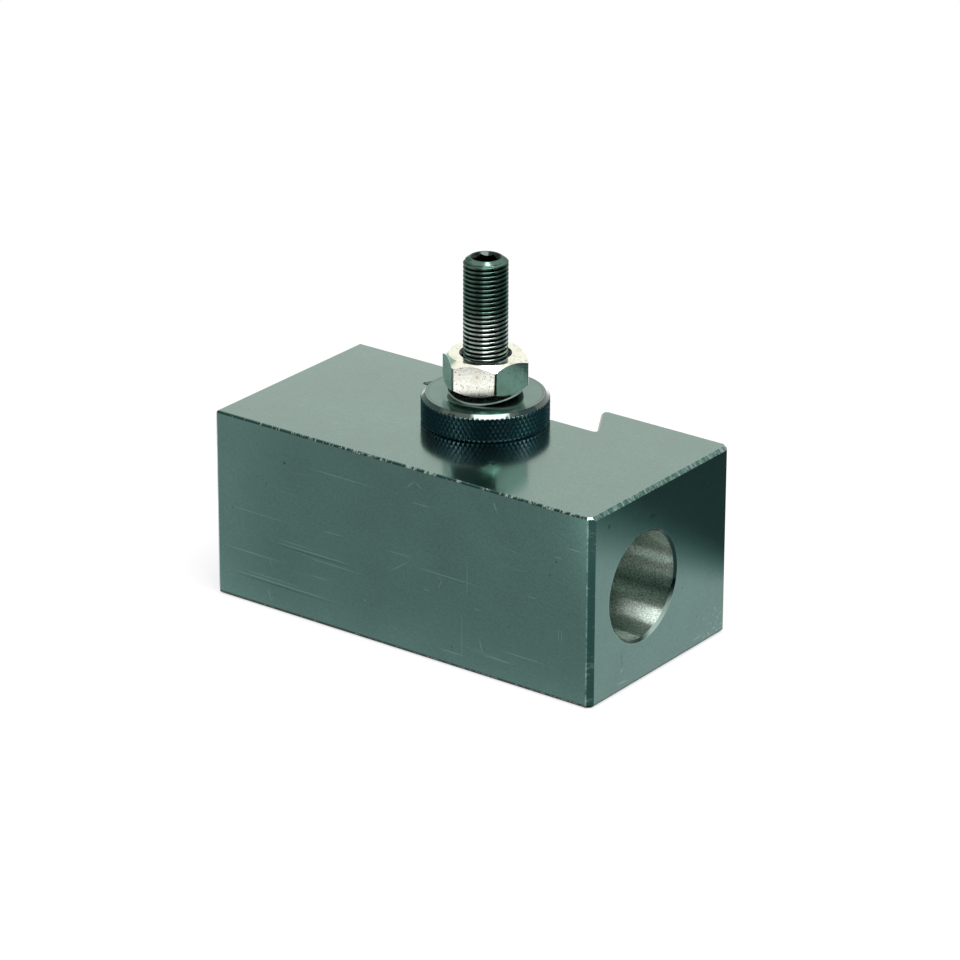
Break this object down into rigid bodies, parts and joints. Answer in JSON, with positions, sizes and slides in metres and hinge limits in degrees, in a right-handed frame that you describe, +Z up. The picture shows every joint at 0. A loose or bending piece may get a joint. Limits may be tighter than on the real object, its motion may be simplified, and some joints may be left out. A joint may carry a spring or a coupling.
{
  "type": "boring bar holder",
  "caption": "Quick-change lathe tool holder: steel block with a Morse taper socket, a dovetail groove and a height stud with thumb nut and lock nut.",
  "frame": {"origin": "middle of the block's underside, which is the middle of the base of the part's box", "axes": "+X along the taper socket, out of its mouth; +Y out of the dovetail groove, towards the tool post; +Z up along the height stud"},
  "size_m": [0.1016, 0.051, 0.081],
  "materials": {
    "blackened_steel": "ground steel, blackened, satin",
    "black_oxide_screw": "black oxide, oiled",
    "black_oxide_nut": "turned and knurled, black oxide",
    "spring_steel": "bare spring steel, oiled",
    "zinc_plated_steel": "bright zinc plate"
  },
  "bodies": {
    "holder": {"holder_block": "blackened_steel", "height_stud": "black_oxide_screw"},
    "washer": {"spring_washer": "spring_steel"},
    "thumb_nut": {"thumb_nut": "black_oxide_nut"},
    "lock_nut": {"lock_nut": "zinc_plated_steel"}
  },
  "joints": [
    {"name": "height_travel", "type": "slide", "parent": "holder", "child": "washer", "axis": [0, 0, 1], "range_m": [0, 0.02]},
    {"name": "thumb_nut_turn", "type": "hinge", "parent": "washer", "child": "thumb_nut", "pos_m": [0, 0.0059, 0.04675], "axis": [0, 0, 1], "range_deg": [0, 7200]},
    {"name": "lock_nut_turn", "type": "hinge", "parent": "washer", "child": "lock_nut", "pos_m": [0, 0.0059, 0.05525], "axis": [0, 0, 1], "range_deg": [0, 7200]}
  ],
  "couplings": [
    {"joint": "height_travel", "follows": "thumb_nut_turn", "m_per_rad": 0.00015915},
    {"joint": "lock_nut_turn", "follows": "thumb_nut_turn", "ratio": 1}
  ]
}
